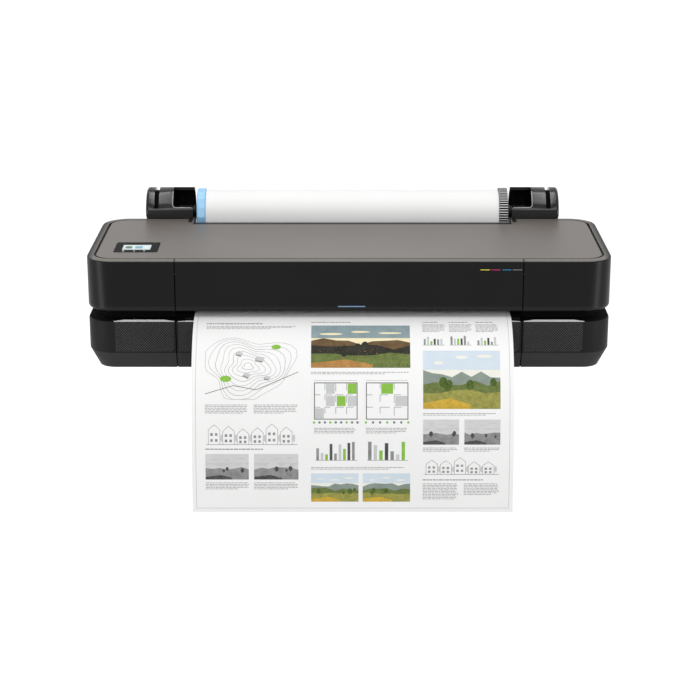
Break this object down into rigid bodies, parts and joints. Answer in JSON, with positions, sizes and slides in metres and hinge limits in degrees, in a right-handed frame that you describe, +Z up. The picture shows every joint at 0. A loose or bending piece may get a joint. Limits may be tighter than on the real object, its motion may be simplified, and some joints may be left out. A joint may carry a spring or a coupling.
{
  "type": "large format plotter",
  "caption": "Wide roll-fed plotter with a rounded dark body, flat taupe top panel, hinged front cover, paper roll on a spindle at the back and a printed sheet hanging from its front.",
  "frame": {"origin": "middle of the machine's footprint, in the plane of its stand seats", "axes": "+X to the right seen from the front, +Y to the back, +Z up"},
  "size_m": [1.013, 0.5813, 0.5129],
  "materials": {
    "charcoal": "fine satin grain",
    "taupe": "fine satin grain",
    "black": "satin",
    "rubber": "matt",
    "steel": "plated sheet",
    "ground_steel": "ground and polished",
    "blue": "satin",
    "paper": "matt coated, printed on the hanging sheet",
    "card": "raw",
    "grey": "satin",
    "screen": "gloss cover glass",
    "light": "lit light guide",
    "board": "solder mask",
    "yellow": "satin",
    "magenta": "satin",
    "cyan": "satin"
  },
  "bodies": {
    "chassis": {"base_pan": "steel", "foot_front_left": "rubber", "foot_front_right": "rubber", "foot_rear_left": "rubber", "foot_rear_right": "rubber", "lower_end_left": "charcoal", "lower_end_right": "charcoal", "lower_front_panel": "charcoal", "lower_rear_panel": "charcoal", "upper_end_left": "charcoal", "upper_end_right": "charcoal", "top_panel": "taupe", "rear_inner_guide": "charcoal", "rear_cover": "charcoal", "output_guide": "black", "control_bezel": "black", "control_screen": "screen", "hinge_rod": "ground_steel", "front_rail": "steel", "side_frame_left": "steel", "side_frame_right": "steel", "main_beam": "steel", "platen_beam": "steel", "platen": "black", "guide_rod": "ground_steel", "drive_belt": "rubber", "flex_cable": "grey", "carriage_motor": "steel", "feed_motor": "steel", "pinch_carrier": "black", "service_station": "grey", "main_board": "board", "power_supply": "steel", "power_inlet": "black", "data_ports": "black", "roll_support_left": "charcoal", "roll_support_right": "charcoal", "paper_sheet": "paper"},
    "front_cover_body": {"front_cover": "charcoal", "status_light": "light"},
    "power_button_body": {"power_button": "grey"},
    "carriage_body": {"carriage": "black", "printhead": "grey"},
    "yellow_cartridge_body": {"ink_cartridge_yellow": "yellow"},
    "magenta_cartridge_body": {"ink_cartridge_magenta": "magenta"},
    "cyan_cartridge_body": {"ink_cartridge_cyan": "cyan"},
    "black_cartridge_body": {"ink_cartridge_black": "grey"},
    "drive_pulley_body": {"drive_pulley": "grey"},
    "idler_pulley_body": {"idler_pulley": "grey"},
    "feed_body": {"feed_roller": "rubber", "feed_gear": "grey"},
    "pinion_body": {"feed_pinion": "grey"},
    "pinch_body": {"pinch_rollers": "rubber"},
    "spindle_bushes_body": {"spindle_bush_left": "grey", "spindle_bush_right": "grey"},
    "roll_body": {"spindle_shaft": "black", "spindle_flange_ribbed": "black", "roll_core": "card", "paper_roll": "paper"},
    "blue_stop_body": {"spindle_flange_blue": "blue"}
  },
  "joints": [
    {"name": "front_cover_hinge", "type": "hinge", "parent": "chassis", "child": "front_cover_body", "pos_m": [0, -0.164, 0.217], "axis": [-1, 0, 0], "range_deg": [0, 85]},
    {"name": "power_button_push", "type": "slide", "parent": "chassis", "child": "power_button_body", "axis": [0, 0, -1], "range_m": [0, 0.0012], "stiffness_N_per_m": 400},
    {"name": "carriage_slide", "type": "slide", "parent": "chassis", "child": "carriage_body", "axis": [1, 0, 0], "range_m": [-0.62, 0.112], "deforming": ["flex_cable"]},
    {"name": "yellow_cartridge_pull", "type": "slide", "parent": "carriage_body", "child": "yellow_cartridge_body", "axis": [0, -1, 0], "range_m": [0, 0.055]},
    {"name": "magenta_cartridge_pull", "type": "slide", "parent": "carriage_body", "child": "magenta_cartridge_body", "axis": [0, -1, 0], "range_m": [0, 0.055]},
    {"name": "cyan_cartridge_pull", "type": "slide", "parent": "carriage_body", "child": "cyan_cartridge_body", "axis": [0, -1, 0], "range_m": [0, 0.055]},
    {"name": "black_cartridge_pull", "type": "slide", "parent": "carriage_body", "child": "black_cartridge_body", "axis": [0, -1, 0], "range_m": [0, 0.055]},
    {"name": "drive_pulley_spin", "type": "hinge", "parent": "chassis", "child": "drive_pulley_body", "pos_m": [-0.43, 0.026, 0.188], "axis": [0, 1, 0], "continuous": true},
    {"name": "idler_pulley_spin", "type": "hinge", "parent": "chassis", "child": "idler_pulley_body", "pos_m": [0.441, 0.026, 0.188], "axis": [0, 1, 0], "continuous": true},
    {"name": "feed_roller_spin", "type": "hinge", "parent": "chassis", "child": "feed_body", "pos_m": [0, 0.0325, 0.0996], "axis": [1, 0, 0], "continuous": true},
    {"name": "feed_pinion_spin", "type": "hinge", "parent": "chassis", "child": "pinion_body", "pos_m": [-0.4528, -0.00933, 0.07545], "axis": [1, 0, 0], "continuous": true},
    {"name": "pinch_roller_spin", "type": "hinge", "parent": "chassis", "child": "pinch_body", "pos_m": [0, 0.0325, 0.1187], "axis": [1, 0, 0], "continuous": true},
    {"name": "spindle_lift", "type": "slide", "parent": "chassis", "child": "spindle_bushes_body", "axis": [0, 0, 1], "range_m": [0, 0.09]},
    {"name": "roll_spin", "type": "hinge", "parent": "spindle_bushes_body", "child": "roll_body", "pos_m": [0.007, 0.2135, 0.229], "axis": [1, 0, 0], "continuous": true},
    {"name": "blue_stop_pull", "type": "slide", "parent": "roll_body", "child": "blue_stop_body", "axis": [-1, 0, 0], "range_m": [0, 0.004]}
  ],
  "couplings": [
    {"joint": "drive_pulley_spin", "follows": "carriage_slide", "rad_per_m": -111.11},
    {"joint": "idler_pulley_spin", "follows": "carriage_slide", "rad_per_m": -111.11},
    {"joint": "feed_pinion_spin", "follows": "feed_roller_spin", "ratio": -3},
    {"joint": "pinch_roller_spin", "follows": "feed_roller_spin", "ratio": -2},
    {"joint": "roll_spin", "follows": "feed_roller_spin", "ratio": 0.25806}
  ]
}
